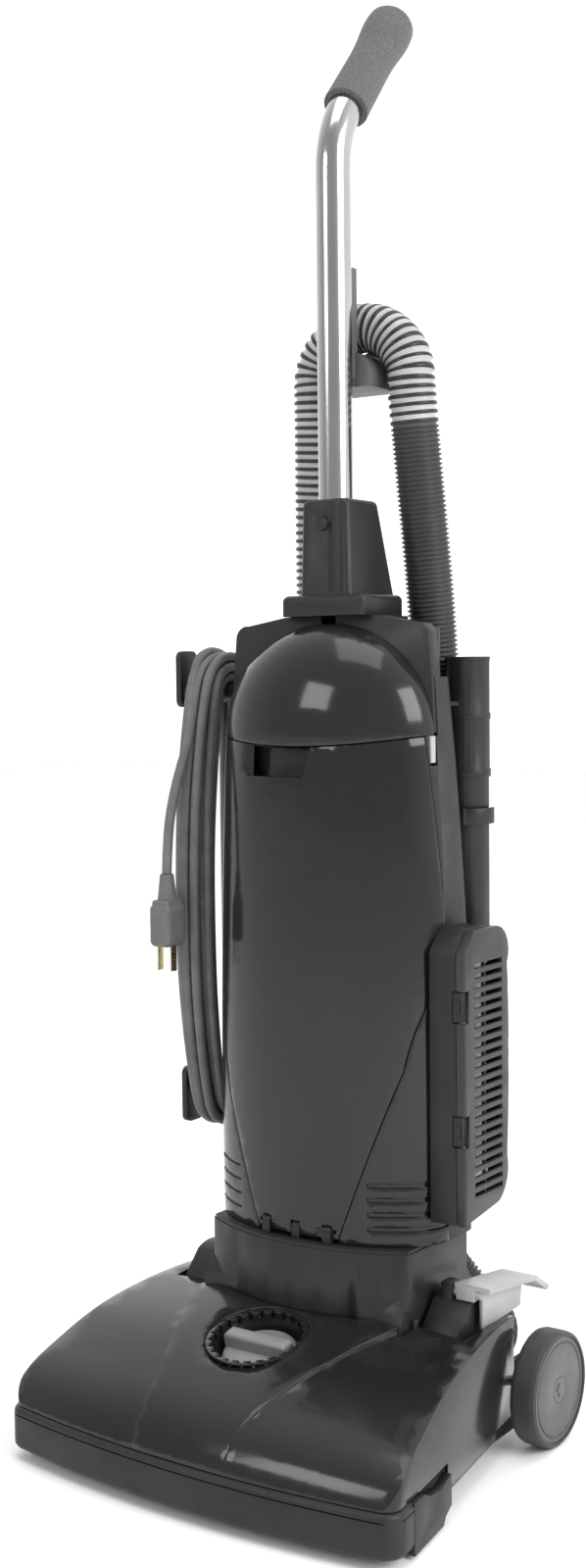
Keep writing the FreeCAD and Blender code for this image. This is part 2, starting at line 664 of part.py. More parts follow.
def make_front():
    skin = cut(front_mass(0.0), front_mass(D.shell_wall))
    doc.recompute()
    low = D.hinge_up - 4
    door_outline = slab("XZ_Plane", [
        line((-36, low), (36, low)), line((36, low), (82, 292)), curve((82, 292), (96, 345), (130, 410)),
        line((130, 410), (130, D.seam_up + 5.4)),
        arc((130, D.seam_up + 5.4), (0, D.seam_up - D.seam_dip - 0.6), (-130, D.seam_up + 5.4)),
        line((-130, D.seam_up + 5.4), (-130, 410)), curve((-130, 410), (-96, 345), (-82, 292)),
        line((-82, 292), (-36, low))], 400, 0, True)
    wing_line = slab("YZ_Plane", lines((-60, 100), (D.split_back - 0.6, 100), (D.split_back - 0.6, 400),
                                       (35, 545), (34, 700), (-60, 700)), 400, 0, True)
    scoop = slab("XZ_Plane", lines((-74, 546), (24, 540), (8, 509), (-46, 509)), 400, 0, True)
    scoop_depth = box((200, 30, 90), (-100, -26, 480))
    window = common(scoop, scoop_depth)
    inner_skin = cut(front_mass(12.0), front_mass(14.5))
    patch_area = lines((-78, 540), (30, 534), (13, 505), (-50, 505))
    patch = common(inner_skin, slab("XZ_Plane", patch_area, 400, 0, True))
    rim_outer = slab("XZ_Plane", lines((-77, 538), (27, 534), (11, 506), (-49, 506)), 400, 0, True)
    rim = cut(common(cut(front_mass(1.5), front_mass(14.5)), rim_outer),
              slab("XZ_Plane", lines((-74, 560), (24, 560), (8, 509), (-46, 509)), 400, 0, True))
    knuckles = [rod(3.2, 15, (x, -3.6, D.hinge_up + 1.5), "X") for x in (-22, 7)]
    pin_hole = rod(1.65, 70, (-35, -3.6, D.hinge_up + 1.5), "X")
    panel = cut(common(common(skin, door_outline), wing_line), window)
    ribs = [common(cut(front_mass(2.5), front_mass(8.0)), box((200, 80, 2.5), (-100, -20, z)))
            for z in (300, 420)]
    ribs = [common(common(r, wing_line), door_outline) for r in ribs]
    backing = common(common(fuse(patch, rim), wing_line), door_outline)
    notches = [box((8.6, 12, 17.5), (x - 0.8, -9, 156.5)) for x in HINGE_SEATS]
    keep(cut(fuse(panel, backing, *ribs, *knuckles), pin_hole, *notches), "bag_door")
    seats = [fuse(box((7, 7, 8.9), (x, -7.5, 160.6)), box((7, 3.1, 11), (x, -3.6, 160.6)),
                  rod(3.4, 7, (x, -3.6, D.hinge_up + 1.5), "X")) for x in HINGE_SEATS]
    pin = rod(1.6, 64, (-32, -3.6, D.hinge_up + 1.5), "X")
    keep(fuse(pin, *seats), "door_hinge")

    wing_outline = slab("XZ_Plane", [
        line((-130, 300), (130, 300)), line((130, 300), (130, D.seam_up + 5.4)),
        arc((130, D.seam_up + 5.4), (0, D.seam_up - D.seam_dip - 0.6), (-130, D.seam_up + 5.4)),
        line((-130, D.seam_up + 5.4), (-130, 300))], 400, 0, True)
    wing_zone = slab("YZ_Plane", lines((D.split_back, 402), (D.split_back, 700), (34.8, 700), (35.8, 545)),
                     400, 0, True)
    wings = common(common(skin, wing_outline), wing_zone)

    below = slab("XZ_Plane", [
        line((-36.7, 160.5), (-36.7, low)), line((-36.7, low), (-82.7, 292)),
        curve((-82.7, 292), (-96.7, 345), (-130, 409)), line((-130, 409), (-130, 160.5)),
        line((-130, 160.5), (-36.7, 160.5))], 400, 0, True)
    front_half = box((400, 200, 400), (-200, D.split_back - 0.4 - 200, 100))
    grooves = [box((60, 80, 3.2), (-58 - 60, -20, up)) for up in (205, 194, 183, 172)]
    deep_skin = front_mass(2.0)
    doc.recompute()
    bites = [cut(g, deep_skin) for g in grooves]
    trim = cut(common(common(skin, below), front_half), *bites)
    keep(fuse(trim, mirrored(trim)), "lower_trims")
    return wings


def make_dome():
    """Fixed dome over the top of the door: a quarter of an ellipsoid with a flat back."""
    def shell(grow):
        ball = Part.makeSphere(1.0)
        half, deep, tall = 93.0 + grow, 54.5 + grow, 84.0 + grow
        m = FreeCAD.Matrix()
        m.scale(half, deep, tall)
        ball = ball.transformGeometry(m)
        ball.translate(Vector(0, D.split_back - 1.0, D.seam_up))
        return ball
    hollow = solid(shell(0).cut(shell(-D.shell_wall)))
    above = slab("XZ_Plane", [seam(0.6), line((130, D.seam_up + 6.6), (130, 700)),
                              line((130, 700), (-130, 700)),
                              line((-130, 700), (-130, D.seam_up + 6.6))], 400, 0, True)
    ahead = box((400, 100, 400), (-200, D.split_back - 4.4 - 100, 400))
    keep(common(common(hollow, above), ahead), "dome_cover")


ELBOW = (47, 127, 507)


def make_housing(wings):
    front_back = D.split_back
    outer = rear_mass(0.0, front_back)
    inner = common(rear_mass(D.shell_wall, front_back - 20), box((300, 300, 376), (-150, -60, 164)))
    floor_trim = box((300, 300, 20), (-150, -60, 140.5))
    upper = rounded(box((150, 46, 40), (-75, 46, 583 - 2)), 8,
                    lambda e: abs(e.CenterOfMass.x) > 74 and abs(e.CenterOfMass.z - 601) < 3)
    frame = slab("XZ_Plane", [line((-93, D.seam_up + 1), (93, D.seam_up + 1)),
                              line((93, D.seam_up + 1), (91, 583)), line((91, 583), (88, 616)),
                              arc((88, 616), (84, 622), (76, 624)), line((76, 624), (40, 630)),
                              line((40, 630), (-40, 630)), line((-40, 630), (-76, 624)),
                              arc((-76, 624), (-84, 622), (-88, 616)), line((-88, 616), (-91, 583)),
                              line((-91, 583), (-93, D.seam_up + 1))], 13, 0)
    place(frame, (0, 59, 0))
    deck = box((180, 40, 3), (-90, 48, 561))
    seat = box((84, 46, 16), (-42, 48, 614))
    rails = [box((3, 8, 220), (s * 60 - 1.5, 85, 320)) for s in (-1, 1)]
    flange = ring(13, 8.06, 4, (-95.2, D.hook_back, D.hook_high - 32), "X")
    body_of = fuse(cut(outer, inner, floor_trim), wings, upper, frame, deck, seat, flange, *rails)
    tube_bore = rod(D.tube_dia / 2 + 0.2, 100, (0, "dims.tube_back", 590), "Z")
    switch_bore = fuse(box((14, 8.0, 24), (84, 39.4, 517.4)), rod(1.56, 9.2, (90.4, 38.8, 529.4), "Y"))
    inlet = rod(15.2, 20, (ELBOW[0], 80, ELBOW[2]), "Y")
    hook_at = (D.hook_back, D.hook_high - 32)
    hook_bore = fuse(rod(8.06, 30, (-110, *hook_at), "X"), rod(11.3, 3.8, (-88.9, *hook_at), "X"))
    keep(cut(body_of, tube_bore, switch_bore, inlet, hook_bore), "rear_housing")


def make_neck():
    """Neck and drum round the motor; it turns on the trunnions and carries the upright."""
    plan = rounded(slab("XY_Plane", neck_plan(0.0), 160, 0), 8, upright_at(D.neck_half, 9))
    upper = common(plan, box((300, 300, 60), (-150, -100, 98)))
    drum = rod("dims.drum_dia / 2", "2 * dims.neck_half",
               ("-dims.neck_half", "dims.pivot_back", "dims.pivot_up"), "X")
    cap = slab("XY_Plane", neck_plan(-1.5), 2.4, 157.8)
    back_cut = box((300, 60, 64), (-150, 80, 40))
    hollow = rod("dims.drum_dia / 2 - 4", 174, (-87, "dims.pivot_back", "dims.pivot_up"), "X")
    room = common(slab("XY_Plane", neck_plan(-3.5), 59, 96), box((174, 300, 60), (-87, -100, 96)))
    ends = rod("dims.trunnion_dia / 2 + 0.08", 300, (-150, "dims.pivot_back", "dims.pivot_up"), "X")
    belt_slot = box((26, 110, 62), (-86, -50, 24))
    keep(cut(fuse(cut(fuse(upper, drum), back_cut), cap), hollow, room, ends, belt_slot), "neck_housing")


# ---------------------------------------------------------------- upright: bag, filters

def make_bag():
    collar = rounded(box((74, 3, 74), (ELBOW[0] - 37, 78.8, 464)), 10,
                     lambda e: abs(abs(e.CenterOfMass.x - ELBOW[0]) - 37) < 1 and e.Length < 4)
    keep(cut(collar, rod(17, 30, (ELBOW[0], 70, ELBOW[2]), "Y")), "bag_collar")
    bag = box((148, 62, 318), (-74, 16, 176))
    keep(rounded(bag, 22, lambda e: e.Length > 60), "dust_bag")
    keep(rounded(box((150, 22, 8), (-75, 68, 164.3)), 3, lambda e: abs(e.CenterOfMass.z - 168.3) < 0.1 and
                 abs(e.CenterOfMass.x) > 70), "motor_filter")


def filter_outline(grow):
    """Side outline of the exhaust cover: a long D with chamfered ends."""
    a, b = D.filter_front - grow, D.filter_rear + grow
    low, high = D.filter_low - grow, D.filter_high + grow
    return [line((a, low + 6), (a, high - 16)), line((a, high - 16), (a + 14, high)),
            line((a + 14, high), (b - 22, high)),
            arc((b - 22, high), (b - 6.5, high - 6.5), (b - 2, high - 24)),
            arc((b - 2, high - 24), (b, (low + high) / 2), (b - 3, low + 40)),
            arc((b - 3, low + 40), (b - 8, low + 22), (b - 22, low + 12)),
            line((b - 22, low + 12), (a, low + 6))]


def make_exhaust():
    out = D.filter_out
    shell = slab("YZ_Plane", filter_outline(0.0), 22, 98)
    hollow = slab("YZ_Plane", filter_outline(-3.0), 40, 100.6)
    clip_seats = [box((8, 7, 24), (out - 11, D.filter_front - 1, up)) for up in (330, 238)]
    box_of = cut(cut(shell, hollow), rear_mass(-0.3, D.split_back), front_mass(-0.5), *clip_seats)
    axis_at = (out - 4.6, D.filter_rear + 1.2)
    knuckle = fuse(box((3.4, 6, 15), (out - 11.6, D.filter_rear - 3.4, 280)),
                   box((7, 2.1, 15), (out - 11.6, D.filter_rear + 0.5, 280)),
                   rod(2.4, 15, (*axis_at, 280), "Z"), rod(1.3, 75, (*axis_at, 250), "Z"))
    keep(fuse(box_of, knuckle), "filter_housing")
    cover = new_body("cover")
    pad(cover, sketch(cover, "YZ_Plane", filter_outline(0.0), "dims.filter_out - 7.4"), 7.4)
    slot_edge = ((42, 198.6), (42 + D.slot_long, 198.6), (42 + D.slot_long, 202.4), (42, 202.4))
    slot = sketch(cover, "YZ_Plane", lines(*slot_edge), "dims.filter_out")
    slot_cut = pocket(cover, slot, 9)
    row(cover, slot_cut, (slot, ["V_Axis"]), "dims.slot_count", "(dims.slot_count - 1) * dims.slot_pitch")
    inner = slab("YZ_Plane", filter_outline(-3.0), 5, out - 8)
    rib = box((2.6, 2, 190), (out - 5.6, 62, 192))
    seats = [box((20, 7, 24), (out - 11, D.filter_front - 1, up)) for up in (330, 238)]
    cover = rounded(cover, 2.2, lambda e: abs(e.CenterOfMass.x - out) < 0.05 and e.Length > 43)
    barrels = [ring(2.4, 1.36, 20, (*axis_at, up), "Z") for up in (253, 302)]
    relief = fuse(rod(1.36, 90, (*axis_at, 245), "Z"), rod(2.8, 16, (*axis_at, 279.5), "Z"))
    keep(cut(fuse(cut(cover, inner, *seats), rib, *barrels), relief), "exhaust_cover")
    for name, up in (("upper", 330), ("lower", 238)):
        tab = fuse(box((8, 4.6, 22), (out - 10.6, D.filter_front + 0.4, up + 1)),
                   box((4, 2.6, 8), (out - 8.6, D.filter_front - 1.6, up + 8)))
        keep(tab, "filter_latch_" + name)
    near, far = 102.4, 115.6
    pleats = [(near, 40)]
    for i in range(10):
        y = 42 + 4 * i
        pleats += [(near + 0.6, y), (far, y + 1.2), (far, y + 2.4), (near + 0.6, y + 3.2)]
    pack = slab("XY_Plane", lines(*pleats, (near, 83)), 158, 210)
    boards = [box((far - near, 43, 4), (near, 40, z)) for z in (206.5, 367.5)]
    keep(fuse(pack, *boards), "exhaust_filter")


# ---------------------------------------------------------------- handle

def make_handle():
    low, high, back = D.socket_low, D.socket_high, D.tube_back
    socket = doc.addObject("Part::Wedge", "socket")
    taper = {"Xmin": -23, "Xmax": 23, "X2min": -21, "X2max": 21, "Ymin": 0, "Ymax": high - low,
             "Zmin": -107, "Zmax": -40, "Z2min": -86, "Z2max": -41}
    for prop, value in taper.items():
        setattr(socket, prop, value)
    place(socket, (0, 0, low), (1, 0, 0), 90)
    socket = rounded(socket, 5, lambda e: e.CenterOfMass.z > low + 5)
    flange = rounded(box((76, 76, 16), (-38, 36, 630.2)), 5,
                     lambda e: abs(e.CenterOfMass.z - 638.2) < 1 or e.CenterOfMass.z > 646)
    bore = rod(D.tube_dia / 2 + 0.05, 120, (0, "dims.tube_back", 620), "Z")
    grooves = [rod(1.9, 80, (x, 39.6, low + 2), "Z") for x in (5, 15)]
    bolt_bore = rod(2.6, 60, (0, 34, 700), "Y")
    rear_relief = box((80, 21, 24.5), (-40, 91.6, 622))
    keep(cut(fuse(socket, flange), bore, bolt_bore, rear_relief, *grooves), "handle_socket")
    bolt = fuse(rod(2.4, 52, (0, 37, 700), "Y"), rod(4.6, 2.6, (0, 37.6, 700), "Y"))
    keep(bolt, "handle_bolt")

    tube = new_body("tube")
    turn = math.radians(D.bend_angle)
    bend = Vector(back + D.bend_radius * (1 - math.cos(turn)), D.bend_up + D.bend_radius * math.sin(turn), 0)
    mid = Vector(back + D.bend_radius * (1 - math.cos(turn / 2)),
                 D.bend_up + D.bend_radius * math.sin(turn / 2), 0)
    reach = Vector(math.sin(turn), math.cos(turn), 0)
    end = bend + reach * (D.grip_length - 4)
    path = sketch(tube, "YZ_Plane", [line((back, 634), (back, D.bend_up)),
                                     Part.Arc(Vector(back, D.bend_up, 0), mid, bend),
                                     Part.LineSegment(bend, end)])
    rims = sketch(tube, "XY_Plane", [Part.Circle(Vector(0, back, 0), Vector(0, 0, 1), D.tube_dia / 2 - g)
                                     for g in (0.05, 1.6)], 634)
    sweep = tube.newObject("PartDesign::AdditivePipe", "sweep")
    sweep.Profile = rims
    sweep.Spine = (path, ["Edge1", "Edge2", "Edge3"])
    bolt_hole = rod(2.5, 60, (0, 34, 700), "Y")
    keep(cut(tube, bolt_hole), "handle_tube")

    grip = new_body("grip")
    r, inner, length = D.grip_dia / 2, D.tube_dia / 2 + 0.05, D.grip_length
    profile = [line((inner, 0), (r - 1.2, 0)), arc((r - 1.2, 0), (r - 0.3, 0.5), (r, 2)),
               curve((r, 2), (r - 0.6, length * 0.35), (r - 0.2, length * 0.62), (r + 1.6, length * 0.86),
                     (r + 0.8, length - 8)),
               curve((r + 0.8, length - 8), (r - 4, length - 1.6), (0, length + 2)),
               line((0, length + 2), (0, length - 3.6)), line((0, length - 3.6), (inner, length - 3.6)),
               line((inner, length - 3.6), (inner, 0))]
    turned(grip, sketch(grip, "XZ_Plane", profile), "V_Axis")
    place(grip, (0, bend.x, bend.y), (-1, 0, 0), D.bend_angle)
    keep(grip, "handle_grip")
    strip = cut(box((18, 8, 84), (-9, back + 10, 812)),
                rod("dims.tube_dia / 2 + 0.05", 120, (0, "dims.tube_back", 790), "Z"))
    screws = [rod(2.6, 1.2, (0, back + 17.8, up), "Y") for up in (872, 888)]
    saddle = common(rod(22, 46, (0, back + 15, 812), "Y"), box((60, 60, 60), (-30, back + 14, 806)))
    hollow = common(rod(19, 40, (0, back + 18, 812), "Y"), box((60, 60, 60), (-30, back + 14, 813)))
    saddle = cut(saddle, hollow)
    lip = common(rod(29, 3.4, (0, back + 60.4, 812), "Y"), box((60, 60, 60), (-30, back + 30, 806)))
    spine = box((16, 50, 7), (-8, back + 14, 806))
    keep(fuse(strip, spine, saddle, lip, *screws), "hose_hook")


# ---------------------------------------------------------------- hose, wand, duct

HOSE_ROUTE = [(-56, 117, 252), (-56, 117, 650), (-43, 98, 800), (-43, 98, 829.8), (-17.8, 98, 855),
              (17.8, 98, 855), (43, 98, 829.8), (44, 98, 800), (47, 127, 610), (47, 127, 562.3)]


def make_hose():
    """Stretch hose over the hook: a long leg on each side of the handle tube."""
    r = D.hose_dia / 2
    keep(solid(tube_along(HOSE_ROUTE, r)), "suction_hose")
    x, back, low = HOSE_ROUTE[0]
    keep(cut(fuse(cone(21, 19.6, 34, (x, back, low - 14), "Z"), rod(22.5, 6, (x, back, low - 16), "Z")),
             rod(16, 80, (x, back, low - 32), "Z"), rod(r + 0.05, 60, (x, back, low - 0.1), "Z")),
         "hose_cuff_lower")
    x, back, inlet = ELBOW
    low, high, turn = inlet + 19, 562, 19
    elbow = new_body("elbow")
    spine = sketch(elbow, "YZ_Plane", [line((back, high), (back, low)),
                                       arc((back, low), (back - 5.6, low - 13.4), (back - turn, inlet)),
                                       line((back - turn, inlet), (94.4, inlet))], x)
    circles = [Part.Circle(Vector(x, back, 0), Vector(0, 0, 1), radius) for radius in (18.6, 16.2)]
    rims = sketch(elbow, "XY_Plane", circles, high)
    sweep = elbow.newObject("PartDesign::AdditivePipe", "sweep")
    sweep.Profile = rims
    sweep.Spine = (spine, ["Edge1", "Edge2", "Edge3"])
    lip = ring(20.8, r + 0.05, 20, (x, back, high - 6), "Z")
    step = ring(20.8, 16.2, 6, (x, back, high - 11), "Z")
    lip = cut(lip, rod(r + 0.05, 60, (x, back, high), "Z"))
    flange = ring(24, 16.2, 3, (x, 94.4, inlet), "Y")
    keep(fuse(elbow, step, lip, flange), "hose_elbow")


DUCT_INLET = (52, 112, 155.7)


def make_duct():
    """Air duct on the back of the upright, from the base hose to the stretch hose."""
    x, back = HOSE_ROUTE[0][:2]
    outer = rounded(box((173, 34, 66), (-98, 94.3, 166)), 9,
                    lambda e: e.CenterOfMass.y > 120 or (e.Length > 30 and abs(e.CenterOfMass.z - 199) < 5))
    inner = box((165, 27, 58), (-94, 97.3, 170))
    into = DUCT_INLET[:2]
    ports = [ring(20.5, 16, 7.6, (x, back, 228), "Z"), ring(17.5, 13.5, 12, (*into, 156), "Z")]
    holes = [rod(16, 20, (x, back, 222), "Z"), rod(13.5, 26, (*into, 150), "Z")]
    keep(cut(fuse(outer, *ports), inner, rear_mass(-0.3, D.split_back), *holes), "rear_duct")
    keep(solid(tube_along(BASE_HOSE, 16.5)), "base_hose")


BASE_HOSE = [(PORT_SIDE, 88.3, PORT_UP), (PORT_SIDE, 132, PORT_UP), (62, 134, 102),
             (52, 112, 131), DUCT_INLET]


def rounded_path(points, share=0.45):
    """Straight runs between points with a tangent arc at each inner point."""
    edges, start = [], points[0]
    for before, here, after in zip(points, points[1:], points[2:]):
        into, out = (here - before), (after - here)
        trim = share * min(into.Length, out.Length)
        into.normalize()
        out.normalize()
        a, b = here - into * trim, here + out * trim
        half_turn = into.getAngle(out) / 2
        radius = trim / math.tan(half_turn)
        centre_way = (out - into).normalize()
        centre = here + centre_way * (radius / math.cos(half_turn))
        RADII.append(round(radius, 1))
        edges.append(Part.LineSegment(start, a).toShape())
        edges.append(Part.Arc(a, centre - centre_way * radius, b).toShape())
        start = b
    edges.append(Part.LineSegment(start, points[-1]).toShape())
    return Part.Wire(edges)


RADII = []


def make_wand():
    r = D.wand_dia / 2
    at = (D.wand_side, D.wand_back)
    low, high = D.wand_low, D.wand_high
    tube = cut(fuse(rod(r - 0.8, high - low, (*at, low), "Z"), rod(r, 92, (*at, high - 92), "Z"),
                    rod(r + 0.7, 5, (*at, high - 48), "Z"), rod(r + 0.7, 6, (*at, high - 92), "Z"),
                    rod(r + 0.5, 3, (*at, high - 3), "Z")),
               rod(r - 3, high - low + 10, (*at, low - 5), "Z"))
    keep(tube, "wand")
    cup = cut(fuse(rod(r + 3.2, 40, (*at, low - 4), "Z"), box((30, 10, 36), (at[0] - 22, 94.3, low - 2))),
              rod(r - 0.7, 60, (*at, low), "Z"))
    bracket = cut(fuse(rod(r + 3.2, 12, (*at, 470), "Z"), box((30, 10, 12), (at[0] - 22, 92, 470))),
                  rod(r + 0.9, 60, (*at, 460), "Z"), box((60, 16, 30), (at[0] - 30, at[1] + 8, 460)))
    keep(cut(fuse(cup, bracket), rear_mass(-0.3, D.split_back)), "wand_holder")


# ---------------------------------------------------------------- switch, latch, cord

SWITCH_AXIS = (90.4, 39.0)


def make_switch():
    rocker = box((6, 6.2, 20), (88.2, 40.3, 519.4))
    rocker = rounded(rocker, 1.2, lambda e: e.CenterOfMass.x > 94)
    keep(fuse(rocker, rod(1.5, 8.8, (*SWITCH_AXIS, 529.4), "Y")), "power_switch")


def make_hooks():
    back = D.hook_back
    for name, up, flip in (("upper", D.hook_high - 32, 0), ("lower", D.hook_low + 36, 180)):
        bar_start, head = (85.6, 3.0) if name == "upper" else (102.0, 1.7)
        out = D.hank_out + 20
        hook = fuse(rod(8, out - bar_start, (-out, 0, 0), "X"),
                    rounded(box((5, 22, 46), (-out - 5, -11, -12)), 6, lambda e: abs(e.Length - 5) < 0.1),
                    rod(11 if name == "upper" else 13, head, (-bar_start - head, 0, 0), "X"))
        place(hook, (0, back, up), (1, 0, 0), flip)
        keep(hook, "cord_hook_" + name)


CORD_LEAD = [(-89, 108, 258), (-90, 108, 286), (-93, 107, 314),
             (-99, 105, 341), (-107, 102, 367), (-114, 97, 394)]
CORD_TAIL = [(-120, 27, 541), (-122, 16, 515), (-124, 7, 488), (-124, 0, 460), (-123, -3, 430)]


def hank_outline(reach, swell):
    """Outline of the hank round the two hooks, reach out from each, swelling between them."""
    back, high, low = D.hook_back, D.hook_high - 32, D.hook_low + 36
    middle = (high + low) / 2
    front, rear = back - reach, back + reach
    return [arc((front, high), (back, high + reach), (rear, high)),
            curve((rear, high), (rear + swell * 0.15, middle), (rear, low)),
            arc((rear, low), (back, low - reach), (front, low)),
            curve((front, low), (front - swell * 0.8, low + 70), (front - swell, middle),
                  (front - swell * 0.8, high - 70), (front, high))]


def tube_along(points, radius):
    """A round cord along straight runs joined by tangent arcs, checked against its length."""
    ends = [Vector(*p) for p in points]
    path = rounded_path(ends)
    rim = Part.Wire(Part.Circle(ends[0], ends[1] - ends[0], radius).toShape())
    shape = path.makePipeShell([rim], True, False)
    expected = math.pi * radius ** 2 * path.Length
    print("cord run", round(path.Length), "mm, volume ratio", round(shape.Volume / expected, 4))
    return shape


def make_cord():
    r = D.cord_dia / 2
    hank = slab("YZ_Plane", hank_outline(35.0, 18.0), 28, -132)
    middle = slab("YZ_Plane", hank_outline(8.6, 11.0), 60, -150)
    keep(cut(hank, middle), "cord_hank")
    keep(solid(tube_along(CORD_LEAD, r)), "cord_lead")
    keep(solid(tube_along(CORD_TAIL, r)), "cord_tail")
    x, y, z = CORD_LEAD[0]
    boot = cut(fuse(cone(7.5, 5.2, 22, (x, y, z - 22), "Z"), rod(8.6, 4, (x, y, z - 25.5), "Z")),
               rod(r + 0.05, 60, (x, y, z - 40), "Z"))
    keep(boot, "cord_strain_relief")
    x, y, z = CORD_TAIL[-1]
    sleeve = cone(8.0, 5.4, 24, (x, y, z - 24), "Z")
    grip = rounded(box((20, 25, 34), (x - 10, y - 12.5, z - 57)), 5, lambda e: e.Length > 18)
    nose = rounded(box((16, 21, 8), (x - 8, y - 10.5, z - 28)), 2.5, lambda e: e.Length > 7)
    slots = [box((1.7, 6.5, 16), (x + s * 6.4 - 0.85, y - 5.2, z - 58)) for s in (-1, 1)]
    pin_hole = rod(2.4, 16, (x, y + 7.4, z - 58), "Z")
    keep(cut(fuse(sleeve, grip, nose), *slots, pin_hole), "plug")
    blades = [box((1.6, 6.3, 33), (x + s * 6.4 - 0.8, y - 5.1, z - 76)) for s in (-1, 1)]
    ground = rounded(rod(2.3, 34, (x, y + 7.4, z - 78), "Z"), 1.2, lambda e: e.CenterOfMass.z < z - 77)
    keep(fuse(*blades, ground), "plug_pins")


make_hood()
make_knob()
make_bumper()
make_skirts()
make_chassis()
make_sole()
make_brush()
make_drive()
make_wheels()
make_rollers()
make_trunnions()
make_pedal()
make_housing(make_front())
make_dome()
make_neck()
make_bag()
make_exhaust()
make_handle()
make_hose()
make_duct()
make_wand()
make_switch()
make_hooks()
make_cord()
doc.recompute()

# ---------------------------------------------------------------- checks and files

os.makedirs("parts", exist_ok=True)
failed = [o.Label for o in doc.Objects if {"Invalid", "Error"} & set(o.State)]
if failed:
    raise RuntimeError("features that failed: " + ", ".join(failed))
for label, obj in NODES.items():
    shape = obj.Shape
    if shape.isNull() or not shape.isValid() or shape.Volume < 1:
        raise RuntimeError("bad shape: " + label)
    shape.exportStep("parts/%s.step" % label)
whole = FreeCAD.BoundBox()
for label, obj in NODES.items():
    if not label.startswith(("cord_", "plug")) or label.startswith("cord_hook"):
        whole.add(obj.Shape.BoundBox)
print(len(NODES), "sub-parts; object box", [round(v, 1) for v in (
    whole.XMin, whole.XMax, whole.YMin, whole.YMax, whole.ZMin, whole.ZMax)])
print("bend radii", RADII)
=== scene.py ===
"""Studio scene of an upright vacuum cleaner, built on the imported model."""
import json
import math
import random

import bmesh
import bpy
from mathutils import Matrix, Vector, noise


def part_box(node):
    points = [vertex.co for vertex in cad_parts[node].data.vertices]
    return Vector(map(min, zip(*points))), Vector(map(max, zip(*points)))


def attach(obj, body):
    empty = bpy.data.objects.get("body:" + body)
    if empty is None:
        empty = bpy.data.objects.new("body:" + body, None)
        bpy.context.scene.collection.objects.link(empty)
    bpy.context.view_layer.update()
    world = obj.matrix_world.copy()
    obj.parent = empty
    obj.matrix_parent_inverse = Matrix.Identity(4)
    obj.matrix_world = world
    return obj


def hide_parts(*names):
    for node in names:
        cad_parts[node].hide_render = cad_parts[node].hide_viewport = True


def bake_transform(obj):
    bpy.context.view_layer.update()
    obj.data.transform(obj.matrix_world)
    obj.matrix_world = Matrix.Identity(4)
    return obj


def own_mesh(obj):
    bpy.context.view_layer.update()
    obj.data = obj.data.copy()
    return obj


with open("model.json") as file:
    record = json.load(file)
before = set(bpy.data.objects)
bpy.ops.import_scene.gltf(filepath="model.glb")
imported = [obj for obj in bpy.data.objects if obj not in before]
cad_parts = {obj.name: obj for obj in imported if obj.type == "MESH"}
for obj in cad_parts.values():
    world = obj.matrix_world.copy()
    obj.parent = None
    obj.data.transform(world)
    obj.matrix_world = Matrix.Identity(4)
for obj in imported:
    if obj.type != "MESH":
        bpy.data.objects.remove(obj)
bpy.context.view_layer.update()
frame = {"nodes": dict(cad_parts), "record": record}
nodes = frame["nodes"]
rng = random.Random(11)

# ---------------------------------------------------------------- camera

# Solved from the photo: angles in radians, the eye in metres.
HEADING, PITCH, ROLL = 0.6094, 0.0588, -0.011
EYE = (0.7821, -1.1244, 0.5846)
LENS_MM, SENSOR_MM = 42.08, 36


def make_camera():
    ahead = Vector((-math.sin(HEADING) * math.cos(PITCH),
                    math.cos(HEADING) * math.cos(PITCH),
                    -math.sin(PITCH)))
    right = Vector((math.cos(HEADING), math.sin(HEADING), 0))
    up = right.cross(ahead)
    side = right * math.cos(ROLL) + up * math.sin(ROLL)
    top = up * math.cos(ROLL) - right * math.sin(ROLL)
    data = bpy.data.cameras.new("camera")
    data.lens = LENS_MM
    data.sensor_width = SENSOR_MM
    data.clip_end = 50
    camera = bpy.data.objects.new("camera", data)
    turn = Matrix((side, top, -ahead)).transposed().to_4x4()
    camera.matrix_world = Matrix.Translation(EYE) @ turn
    bpy.context.collection.objects.link(camera)
    bpy.context.scene.camera = camera


make_camera()

# ---------------------------------------------------------------- materials


